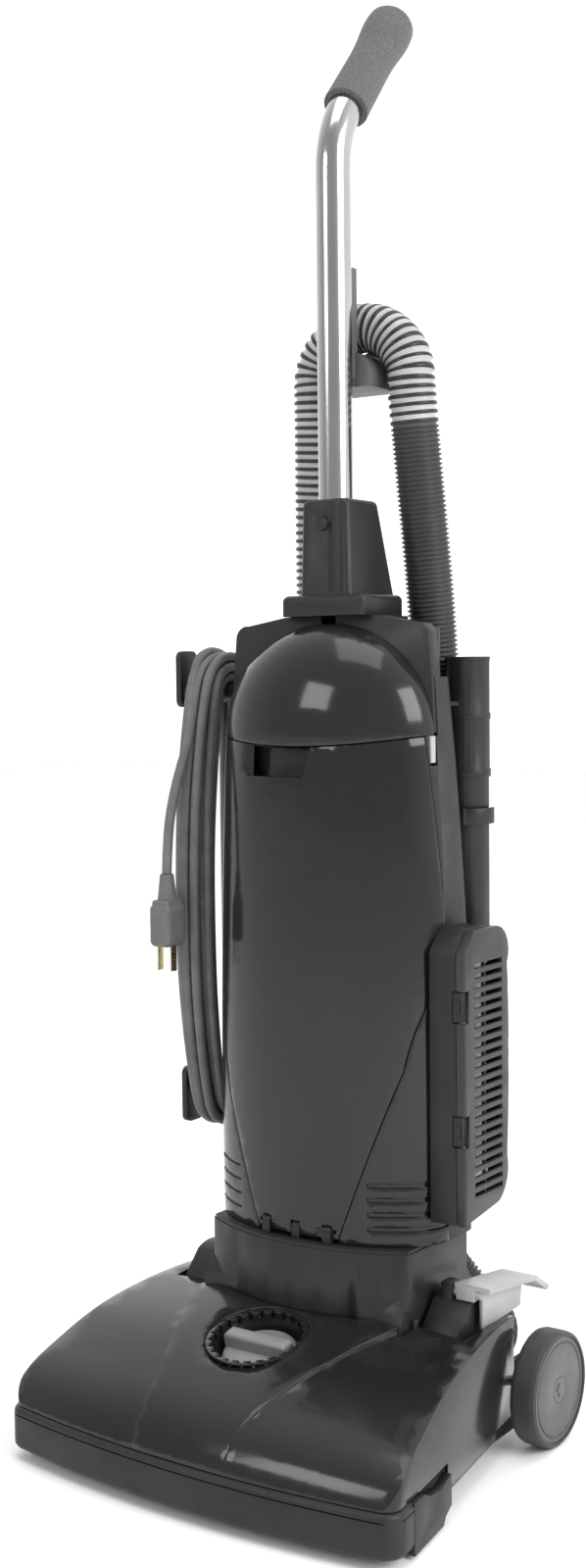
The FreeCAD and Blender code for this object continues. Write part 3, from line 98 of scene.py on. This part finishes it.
class Mat:
    """A Principled material with helpers for the nodes that feed it."""

    def __init__(self, name, colour, rough, metal=0.0):
        self.m = bpy.data.materials.new(name)
        self.m.use_nodes = True
        self.t = self.m.node_tree
        self.s = self.t.nodes["Principled BSDF"]
        self.s.inputs["Base Color"].default_value = (*colour, 1)
        self.s.inputs["Roughness"].default_value = rough
        self.s.inputs["Metallic"].default_value = metal
        self.where = self.t.nodes.new("ShaderNodeTexCoord").outputs["Object"]
        self.height = None

    def set(self, **values):
        for name, value in values.items():
            self.s.inputs[name.replace("_", " ")].default_value = value
        return self

    def node(self, kind, **inputs):
        n = self.t.nodes.new("ShaderNode" + kind)
        for name, value in inputs.items():
            socket = n.inputs[name.replace("_", " ")]
            if isinstance(value, bpy.types.NodeSocket):
                self.t.links.new(value, socket)
            else:
                socket.default_value = value
        return n

    def stretched(self, scale):
        return self.node("Mapping", Vector=self.where, Scale=scale).outputs["Vector"]

    def noise(self, scale, detail=4, at=None, rough=0.5):
        n = self.node("TexNoise", Vector=at or self.where, Scale=scale, Detail=detail, Roughness=rough)
        return n.outputs[0]

    def ranged(self, value, low, high, start=0.3, end=0.7):
        n = self.node("MapRange", Value=value, From_Min=start, From_Max=end, To_Min=low, To_Max=high)
        return n.outputs[0]

    def tint(self, value, dark, light, start=0.3, end=0.7):
        ramp = self.node("ValToRGB", Fac=value)
        ends = ramp.color_ramp.elements
        ends[0].position, ends[0].color = start, (*dark, 1)
        ends[1].position, ends[1].color = end, (*light, 1)
        self.t.links.new(ramp.outputs[0], self.s.inputs["Base Color"])
        return self

    def dull(self, value, low, high):
        self.t.links.new(self.ranged(value, low, high), self.s.inputs["Roughness"])
        return self

    def bump(self, value, strength, distance):
        n = self.node("Bump", Height=value, Strength=strength, Distance=distance)
        if self.height:
            self.t.links.new(self.height, n.inputs["Normal"])
        self.height = n.outputs[0]
        self.t.links.new(self.height, self.s.inputs["Normal"])
        return self


def shades(colour, spread):
    return tuple(c * (1 - spread) for c in colour), tuple(c * (1 + spread) for c in colour)


def gloss(name, colour, rough=0.12):
    """Polished moulding: faint orange peel, handling smears and fine dust."""
    m = Mat(name, colour, rough).set(Specular_IOR_Level=0.32, Coat_Weight=0.14, Coat_Roughness=0.05)
    m.tint(m.noise(9, 5), *shades(colour, 0.14))
    m.dull(m.noise(14, 8, rough=0.7), rough * 0.7, rough * 1.9)
    return m.bump(m.noise(190, 2), 0.05, 0.0006).bump(m.noise(26, 2), 0.05, 0.002)


def satin(name, colour, rough=0.42, grain=900):
    """Moulded plastic with a fine eroded grain."""
    m = Mat(name, colour, rough).set(Specular_IOR_Level=0.3)
    m.tint(m.noise(20, 6), *shades(colour, 0.16))
    m.dull(m.noise(35, 5), rough * 0.85, rough * 1.25)
    cells = m.node("TexVoronoi", Vector=m.where, Scale=grain).outputs["Distance"]
    return m.bump(cells, 0.16, 0.0003).bump(m.noise(1700, 2), 0.12, 0.0002)


def metal(name, colour, rough, along=(40, 40, 1500), streak=0.1):
    """Drawn or brushed metal; its fine lines lie across the axes with the largest scale in along."""
    m = Mat(name, colour, rough, 1.0)
    lines = m.noise(1.0, 3, m.stretched(along))
    m.tint(m.noise(18, 4), *shades(colour, 0.06))
    m.dull(lines, rough * 0.7, rough * 1.6)
    return m.bump(lines, streak, 0.0002)


def rubber(name, colour, rough=0.6, pores=700):
    m = Mat(name, colour, rough).set(Specular_IOR_Level=0.3)
    m.tint(m.noise(60, 6, rough=0.7), *shades(colour, 0.2))
    m.dull(m.noise(80, 3), rough * 0.85, min(1.0, rough * 1.2))
    return m.bump(m.noise(pores, 4, rough=0.65), 0.3, 0.0005)


def foam(name, colour, scale=650):
    """Open-celled foam: small pits all over a soft matte face, each pit darkened with painted shade."""
    m = Mat(name, colour, 0.85).set(Specular_IOR_Level=0.2, Sheen_Weight=0.15)
    pits = m.node("TexVoronoi", Vector=m.where, Scale=scale).outputs["Distance"]
    # Painted shade: the colour darkens towards each pit's centre, where the bump is deepest.
    m.tint(pits, *shades(colour, 0.28), 0.1, 0.7)
    return m.bump(pits, 0.5, 0.0006).bump(m.noise(60, 3), 0.2, 0.0015)


def fibre(name, colour, scale=420):
    """Pressed paper or filter fibre."""
    m = Mat(name, colour, 0.9).set(Specular_IOR_Level=0.15, Sheen_Weight=0.1)
    hairs = m.noise(scale, 8, m.stretched((1, 1, 0.22)), 0.75)
    m.tint(hairs, *shades(colour, 0.12))
    return m.bump(hairs, 0.4, 0.0005).bump(m.noise(24, 4), 0.25, 0.002)


def wood(name, colour):
    m = Mat(name, colour, 0.35).set(Coat_Weight=0.4)
    grain = m.noise(30, 7, m.stretched((0.6, 8, 8)), 0.7)
    m.tint(grain, tuple(c * 0.55 for c in colour), colour, 0.35, 0.65)
    return m.bump(grain, 0.2, 0.0004)


M = {
    "gloss_black": gloss("gloss_black", (0.013, 0.0125, 0.0125)),
    "dome_black": gloss("dome_black", (0.016, 0.0155, 0.0155), 0.1),
    "satin_black": satin("satin_black", (0.017, 0.017, 0.017)),
    "neck_black": satin("neck_black", (0.02, 0.02, 0.02), 0.34, 700),
    "chrome_tube": metal("chrome_tube", (0.44, 0.44, 0.435), 0.14, (1500, 1500, 8), 0.06),
    "steel": metal("steel", (0.5, 0.5, 0.5), 0.3),
    "grip_foam": foam("grip_foam", (0.085, 0.083, 0.082)),
    "grey_plastic": satin("grey_plastic", (0.09, 0.09, 0.09), 0.38),
    "vent_grey": satin("vent_grey", (0.034, 0.034, 0.034), 0.36, 800),
    "light_grey": satin("light_grey", (0.36, 0.36, 0.36), 0.35),
    "knob_grey": satin("knob_grey", (0.2, 0.2, 0.2), 0.34),
    "wheel_grey": satin("wheel_grey", (0.085, 0.085, 0.085), 0.42),
    "tyre": rubber("tyre", (0.05, 0.05, 0.05), 0.55, 500),
    "hose_plastic": satin("hose_plastic", (0.02, 0.02, 0.02), 0.3, 1400),
    "hose_web": satin("hose_web", (0.42, 0.42, 0.42), 0.35, 1400),
    # The pale web again, darkened with painted shade for the closed folds.
    "hose_web_painted_shade": satin("hose_web_painted_shade", (0.075, 0.075, 0.075), 0.4, 1400),
    "cord_rubber": rubber("cord_rubber", (0.13, 0.13, 0.13), 0.48, 900),
    "brass_pins": metal("brass_pins", (0.75, 0.68, 0.5), 0.25),
    "bristle": satin("bristle", (0.02, 0.02, 0.022), 0.5),
    "brush_wood": wood("brush_wood", (0.42, 0.27, 0.13)),
    "belt_rubber": rubber("belt_rubber", (0.018, 0.018, 0.018), 0.7),
    "paper_bag": fibre("paper_bag", (0.66, 0.6, 0.47)),
    "bag_card": fibre("bag_card", (0.42, 0.33, 0.22), 260),
    "filter_media": fibre("filter_media", (0.74, 0.74, 0.71), 600),
    "foam": foam("foam", (0.06, 0.06, 0.07), 450),
    "motor_steel": metal("motor_steel", (0.42, 0.43, 0.45), 0.38, (900, 40, 40)),
}
# Nodes that look a little different from the rest of their material slot.
FINER = {"dome_cover": "dome_black", "neck_housing": "neck_black", "exhaust_cover": "vent_grey",
         "height_knob": "knob_grey", "handle_bolt": "satin_black"}


def skin(node, name):
    slots = node.data.materials
    if not slots:
        slots.append(M[name].m)
    for i in range(len(slots)):
        slots[i] = M[name].m


for part in frame["record"]["subparts"]:
    name = part["node"]
    skin(nodes[name], FINER.get(name, part["material_slot"]))

# ---------------------------------------------------------------- helpers for new pieces


def new_mesh(name, verts, faces, smooth=True):
    mesh = bpy.data.meshes.new(name)
    mesh.from_pydata([tuple(v) for v in verts], [], faces)
    mesh.update()
    for p in mesh.polygons:
        p.use_smooth = smooth
    obj = bpy.data.objects.new(name, mesh)
    bpy.context.collection.objects.link(obj)
    return obj


def spline(name, points):
    """One open NURBS line with the route's points as its control points."""
    data = bpy.data.curves.new(name, "CURVE")
    data.dimensions = "3D"
    data.resolution_u = 8
    line = data.splines.new("NURBS")
    line.points.add(len(points) - 1)
    for p, at in zip(line.points, points):
        p.co = (*at, 1)
    line.order_u = 3
    line.use_endpoint_u = True
    obj = bpy.data.objects.new(name, data)
    bpy.context.collection.objects.link(obj)
    return obj


def line_points(points):
    """Close points along the smooth line of a route."""
    guide = spline("guide", points)
    bpy.context.view_layer.update()
    mesh = bpy.data.meshes.new_from_object(guide)
    found = [v.co.copy() for v in mesh.vertices]
    bpy.data.objects.remove(guide)
    return found


def paint(obj, *names):
    for name in names:
        obj.data.materials.append(M[name].m)
    return obj


# ---------------------------------------------------------------- mains cord on its two hooks

LEAD = [(-0.089, 0.108, 0.258), (-0.090, 0.108, 0.286), (-0.093, 0.107, 0.314), (-0.099, 0.105, 0.341),
        (-0.107, 0.102, 0.367), (-0.114, 0.097, 0.394)]
TAIL = [(-0.120, 0.027, 0.541), (-0.122, 0.016, 0.515), (-0.124, 0.007, 0.488), (-0.124, 0.0, 0.460),
        (-0.123, -0.003, 0.430)]
HOOK_BACK, HOOK_LOW, HOOK_HIGH = 0.066, 0.250, 0.572
COLUMNS = (-0.1088, -0.1180, -0.1272)
ROWS = (0.0130, 0.0216, 0.0302)
LAST_ROW = 0.0345
CORD_RADIUS = 0.004
# The cord's middle line is kept between these two x.
CORD_OUT, CORD_IN = -0.1278, -0.1082
# How far a point wanders: in the middle of each run between the hooks, and elsewhere.
SWAY_FREE, SWAY_HELD = 0.0007, 0.0002


def hook_arc(z, radius, angles):
    """The (y, z) points of an arc round a hook at height z, at angles in degrees."""
    return [(HOOK_BACK + radius * math.cos(math.radians(a)), z + radius * math.sin(math.radians(a)))
            for a in angles]


def turn_points(radius, x_from, x_to):
    """One turn round both hooks: up behind, over the top, down in front, under the bottom.

    The step from one column to the next is spread over the turn after its first five points.
    """
    swell = 0.011 + (radius - 0.0086) * 0.26
    arc = radius * 1.03
    found = []
    for z, share in ((0.305, 0.5), (0.375, 0.9), (0.445, 0.9), (0.515, 0.5)):
        found.append((HOOK_BACK + radius + 0.15 * swell * share, z))
    found += hook_arc(HOOK_HIGH, arc, (0, 45, 90, 135, 180))
    for z, share in ((0.505, 0.75), (0.445, 0.98), (0.375, 0.98), (0.315, 0.75)):
        found.append((HOOK_BACK - radius - swell * share, z))
    found += hook_arc(HOOK_LOW, arc, (180, 225, 270, 315, 360))
    points = []
    for i, (y, z) in enumerate(found):
        share = max(0.0, (i - 4) / (len(found) - 5))
        sway = SWAY_FREE if i in (1, 2, 10, 11) else SWAY_HELD
        x = x_from + (x_to - x_from) * share + rng.uniform(-sway, sway)
        points.append((min(CORD_IN, max(CORD_OUT, x)), y + rng.uniform(-sway, sway), z))
    return points


def make_cord():
    cells = []
    for i, radius in enumerate(ROWS):
        row = COLUMNS if i % 2 == 0 else COLUMNS[::-1]
        cells += [(radius, x) for x in row]
    points = list(LEAD)
    for i, (radius, x) in enumerate(cells):
        after = cells[min(i + 1, len(cells) - 1)][1]
        turn = turn_points(radius, x, after)
        if i == 0:
            turn = turn[3:]
        points += turn
    part_turn = turn_points(LAST_ROW, COLUMNS[-1], COLUMNS[-1])[:8]
    points += part_turn + TAIL
    cord = spline("mains_cord", points)
    cord.data.bevel_depth = CORD_RADIUS
    cord.data.bevel_resolution = 3
    paint(cord, "cord_rubber")
    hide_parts("cord_hank", "cord_lead", "cord_tail")
    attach(cord, "upright")


make_cord()

# ---------------------------------------------------------------- ribbed hoses

HOSE = [(-0.056, 0.117, 0.252), (-0.056, 0.117, 0.650), (-0.043, 0.098, 0.800), (-0.043, 0.098, 0.8298),
        (-0.0178, 0.098, 0.855), (0.0178, 0.098, 0.855), (0.043, 0.098, 0.8298), (0.044, 0.098, 0.800),
        (0.047, 0.127, 0.610), (0.047, 0.127, 0.5623)]
BASE_HOSE = [(0.108, 0.0883, 0.066), (0.108, 0.132, 0.066), (0.062, 0.134, 0.102), (0.052, 0.112, 0.131),
             (0.052, 0.112, 0.1557)]
HOSE_RADIUS, BASE_HOSE_RADIUS = 0.0189, 0.0164
BASE_HOSE_PITCH = 0.0042
# One rib: share of the pitch, and how far down into the groove the wall is there.
RIB_SHAPE = ((0.0, 1.0), (0.2, 0.95), (0.3, 0.3), (0.38, 0.0), (0.68, 0.0), (0.76, 0.3), (0.86, 0.95))
RIB_DEPTH = 0.0019
RING_SIDES = 32
# Grooves wider apart than this are stretched open and show the pale web; closer grooves show the web
# darkened with painted shade of the tight folds.
OPEN_PITCH = 0.0048


def ribbed(name, route, outer, pitch_at):
    """A corrugated tube along a route, with its middle line and length.

    pitch_at gives the rib spacing at a share of the length.
    """
    line = line_points(route)
    far = [0.0]
    for a, b in zip(line, line[1:]):
        far.append(far[-1] + (b - a).length)
    total = far[-1]
    marks, s = [], 0.0
    while s < total:
        pitch = min(pitch_at(s / total), total - s + 1e-6)
        marks += [(s + share * pitch, dip) for share, dip in RIB_SHAPE]
        s += pitch
    marks = [m for m in marks if m[0] < total] + [(total, 1.0)]
    verts, faces, kinds = [], [], []
    seg, across = 0, None
    for s, dip in marks:
        while seg < len(line) - 2 and far[seg + 1] < s:
            seg += 1
        step = line[seg + 1] - line[seg]
        at = line[seg] + step * ((s - far[seg]) / max(step.length, 1e-9))
        ahead = step.normalized()
        if across is None:
            across = Vector((0, 0, 1)).cross(ahead) if abs(ahead.z) < 0.9 else Vector((1, 0, 0))
        across = (across - ahead * across.dot(ahead)).normalized()
        other = ahead.cross(across)
        r = outer - RIB_DEPTH * dip
        for k in range(RING_SIDES):
            a = 2 * math.pi * k / RING_SIDES
            verts.append(at + (across * math.cos(a) + other * math.sin(a)) * r)
        kinds.append(dip)
    for i in range(len(marks) - 1):
        here, there = i * RING_SIDES, (i + 1) * RING_SIDES
        for k in range(RING_SIDES):
            n = (k + 1) % RING_SIDES
            faces.append((here + k, here + n, there + n, there + k))
    obj = new_mesh(name, verts, faces)
    paint(obj, "hose_plastic", "hose_web", "hose_web_painted_shade")
    for i, p in enumerate(obj.data.polygons):
        ring = i // RING_SIDES
        groove = (kinds[ring] + kinds[ring + 1]) / 2 > 0.5
        open_here = pitch_at(marks[ring][0] / total) > OPEN_PITCH
        # Open grooves show the pale web; closed ones show the web with painted shade.
        p.material_index = (1 if open_here else 2) if groove else 0
    return obj, line, total


def hose_pitch(share):
    """Loose over the hook, closed up on the right-hand leg."""
    if share < 0.45:
        return 0.0052 + 0.0012 * share
    if share < 0.77:
        return 0.0064
    return 0.0036


hose, hose_line, hose_length = ribbed("suction_hose_ribbed", HOSE, HOSE_RADIUS, hose_pitch)
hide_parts("suction_hose")
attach(hose, "upright")

short_hose, _, _ = ribbed("base_hose_ribbed", BASE_HOSE, BASE_HOSE_RADIUS,
                          lambda share: BASE_HOSE_PITCH)
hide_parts("base_hose")
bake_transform(short_hose)

# ---------------------------------------------------------------- soft pieces and bristles


def make_bag():
    """Part-filled paper bag: gusseted sides, sagging low, with soft creases."""
    lo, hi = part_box("dust_bag")
    mid, size = (lo + hi) / 2, hi - lo
    bm = bmesh.new()
    bmesh.ops.create_cube(bm, size=2.0)
    bmesh.ops.subdivide_edges(bm, edges=bm.edges[:], cuts=31, use_grid_fill=True)
    for v in bm.verts:
        u, d, t = v.co
        edge = max(abs(u), abs(t))
        puff = (1 - abs(u) ** 3.2) * (1 - abs(t) ** 5)
        full = 0.60 + 0.36 * puff * (1.05 - 0.3 * t)
        gusset = 0.12 * max(0.0, 1 - abs(d) * 2.2) * (abs(u) > 0.9)
        crease = 0.035 * noise.noise(Vector((u * 2.6, d * 1.5, t * 5.2)))
        fold = 0.02 * abs(noise.noise(Vector((u * 6.0, 3.0, t * 2.0))))
        x = u * (0.975 - gusset - 0.03 * abs(t) ** 6 - fold)
        y = d * min(1.0, full - fold) + crease * (1 - edge ** 4)
        z = t * (0.98 - 0.03 * abs(u) ** 8)
        v.co = Vector((mid.x + x * size.x / 2,
                       mid.y + max(-1.0, min(1.0, y)) * size.y / 2,
                       mid.z + z * size.z / 2))
    mesh = bpy.data.meshes.new("dust_bag_paper")
    bm.to_mesh(mesh)
    bm.free()
    for p in mesh.polygons:
        p.use_smooth = True
    bag = bpy.data.objects.new("dust_bag_paper", mesh)
    bpy.context.collection.objects.link(bag)
    paint(bag, "paper_bag")
    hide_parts("dust_bag")
    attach(bag, "upright")


make_bag()


BRUSH_AXIS = {"y": -0.108, "z": 0.033}
HAIRS, HAIR_SIDES = 26, 3
TUFT_RADIUS, TUFT_SPREAD = 0.0017, 0.0007
HAIR_ROOT = 0.0160
HAIR_SHORT, HAIR_LONG = 0.0098, 0.0107
ROOT_RADIUS, TIP_RADIUS = 0.00022, 0.00016
ALONG = Vector((1, 0, 0))


def make_bristles():
    """Nylon tufts in opposite pairs, winding round the roller in a left and a right group."""
    verts, faces = [], []
    for half, start in ((-1, 0.0), (1, 180.0)):
        for i in range(9):
            x = 0.024 + 0.0125 * i if half > 0 else -(0.094 + 0.0052 * i)
            for twin in (0.0, 180.0):
                turn = math.radians(start + 14.0 * i + twin)
                out = Vector((0, -math.sin(turn), math.cos(turn)))
                side = Vector((0, out.z, -out.y))
                for _ in range(HAIRS):
                    a, r = rng.uniform(0, 2 * math.pi), rng.uniform(0, 1) ** 0.5
                    foot = Vector((x, BRUSH_AXIS["y"], BRUSH_AXIS["z"])) + out * HAIR_ROOT
                    foot += ALONG * (r * TUFT_RADIUS * math.cos(a)) + side * (r * TUFT_RADIUS * math.sin(a))
                    lean = ALONG * (r * TUFT_SPREAD * math.cos(a)) + side * (r * TUFT_SPREAD * math.sin(a))
                    tip = foot + out * rng.uniform(HAIR_SHORT, HAIR_LONG) + lean
                    root = len(verts)
                    top = root + HAIR_SIDES
                    for at, w in ((foot, ROOT_RADIUS), (tip, TIP_RADIUS)):
                        for k in range(HAIR_SIDES):
                            b = 2 * math.pi * k / HAIR_SIDES
                            verts.append(at + ALONG * (w * math.cos(b)) + side * (w * math.sin(b)))
                    for k in range(HAIR_SIDES):
                        n = (k + 1) % HAIR_SIDES
                        faces.append((root + k, root + n, top + n, top + k))
                    faces.append((top, top + 1, top + 2))
    obj = new_mesh("brush_bristles", verts, faces, False)
    paint(obj, "bristle")
    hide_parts("brush_tufts")
    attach(obj, "brush")


make_bristles()


SPRING_FOOT = Vector((0.120, 0.072, 0.1010))
SPRING_TURNS, TURN_STEPS = 8, 12
SPRING_RADIUS, SPRING_RISE = 0.0043, 0.0222
WIRE_RADIUS, FIRST_COIL = 0.0007, 0.0009


def make_spring():
    """Coil spring under the release pedal."""
    points = []
    steps = SPRING_TURNS * TURN_STEPS
    for i in range(steps + 1):
        a = 2 * math.pi * i / TURN_STEPS
        points.append(SPRING_FOOT + Vector((SPRING_RADIUS * math.cos(a), SPRING_RADIUS * math.sin(a),
                                            FIRST_COIL + SPRING_RISE * i / steps)))
    coil = spline("pedal_coil_spring", points)
    coil.data.bevel_depth = WIRE_RADIUS
    coil.data.bevel_resolution = 2
    coil.data.use_fill_caps = True
    paint(coil, "steel")
    mesh = bpy.data.meshes.new_from_object(coil.evaluated_get(bpy.context.evaluated_depsgraph_get()))
    mesh.name = "pedal_coil"
    solid = bpy.data.objects.new("pedal_coil", mesh)
    bpy.context.collection.objects.link(solid)
    bpy.data.objects.remove(coil)
    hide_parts("pedal_spring")
    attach(solid, "base")
    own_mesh(solid)


make_spring()

# ---------------------------------------------------------------- soft edges on the moulded pieces

# Width of the rounded edge, in millimetres.
SOFT = {"hood": 0.8, "bumper": 0.6, "knob_bezel": 0.5, "height_knob": 0.9, "neck_housing": 1.2,
        "rear_housing": 0.9, "bag_door": 0.5, "lower_trims": 0.4, "dome_cover": 0.5,
        "filter_housing": 0.7, "exhaust_cover": 0.5, "filter_latch_upper": 0.5,
        "filter_latch_lower": 0.5, "handle_socket": 0.8, "hose_hook": 0.6, "wand": 0.4,
        "wand_holder": 0.6, "rear_duct": 0.8, "hose_elbow": 0.5, "hose_cuff_lower": 0.5,
        "release_pedal": 0.8, "nozzle_skirts": 0.7, "trunnion_left": 0.9, "trunnion_right": 0.9,
        "cord_hook_upper": 0.8, "cord_hook_lower": 0.8, "plug": 0.6, "wheel_disc_left": 0.4,
        "wheel_disc_right": 0.4, "cord_strain_relief": 0.4, "power_switch": 0.4, "handle_bolt": 0.4}
EDGE_ANGLE = math.radians(38)
WELD_GAP = 0.00001
for name, width in SOFT.items():
    obj = nodes[name]
    weld = obj.modifiers.new("weld", "WELD")
    weld.merge_threshold = WELD_GAP
    edge = obj.modifiers.new("edge", "BEVEL")
    edge.width = width / 1000
    edge.segments = 2
    edge.limit_method = "ANGLE"
    edge.angle_limit = EDGE_ANGLE
    edge.harden_normals = True
    for p in obj.data.polygons:
        p.use_smooth = True

# ---------------------------------------------------------------- floor, light


FLOOR_REACH = 9
# The sky's strength rises along Y, from dim in front of the machine to bright behind it.
SKY_SHADE = {"From Min": -0.7, "From Max": 0.5, "To Min": 0.52, "To Max": 1.4}
# Name, place, size in metres, power in watts. All lamps face LIT_SPOT.
LAMPS = (("key", (2.4, -0.2, 1.7), 1.5, 55), ("front", (-0.9, -2.4, 1.7), 0.9, 16),
         ("top", (0.1, -0.3, 2.6), 1.3, 14))
LIT_SPOT = Vector((0, 0, 0.45))


def make_room():
    corners = [(x * FLOOR_REACH, y * FLOOR_REACH, 0) for x, y in ((-1, -1), (1, -1), (1, 1), (-1, 1))]
    floor = new_mesh("floor", corners, [(0, 1, 2, 3)], False)
    pale = Mat("floor_pale", (0.97, 0.97, 0.97), 0.8).set(Specular_IOR_Level=0.1)
    pale.tint(pale.noise(3, 3), (0.96, 0.96, 0.96), (0.98, 0.98, 0.98))
    floor.data.materials.append(pale.m)
    world = bpy.data.worlds.new("studio")
    world.use_nodes = True
    tree = world.node_tree
    sky = tree.nodes["Background"]
    sky.inputs["Color"].default_value = (1, 1, 1, 1)
    split = tree.nodes.new("ShaderNodeSeparateXYZ")
    shade = tree.nodes.new("ShaderNodeMapRange")
    for name, value in SKY_SHADE.items():
        shade.inputs[name].default_value = value
    tree.links.new(tree.nodes.new("ShaderNodeTexCoord").outputs["Generated"], split.inputs[0])
    tree.links.new(split.outputs["Y"], shade.inputs["Value"])
    tree.links.new(shade.outputs[0], sky.inputs["Strength"])
    bpy.context.scene.world = world
    bpy.context.scene.view_settings.view_transform = "Standard"
    for name, at, size, power in LAMPS:
        data = bpy.data.lights.new(name, "AREA")
        data.energy = power
        data.size = size
        lamp = bpy.data.objects.new(name, data)
        lamp.location = at
        lamp.rotation_euler = (LIT_SPOT - Vector(at)).to_track_quat("-Z", "Y").to_euler()
        bpy.context.collection.objects.link(lamp)


make_room()
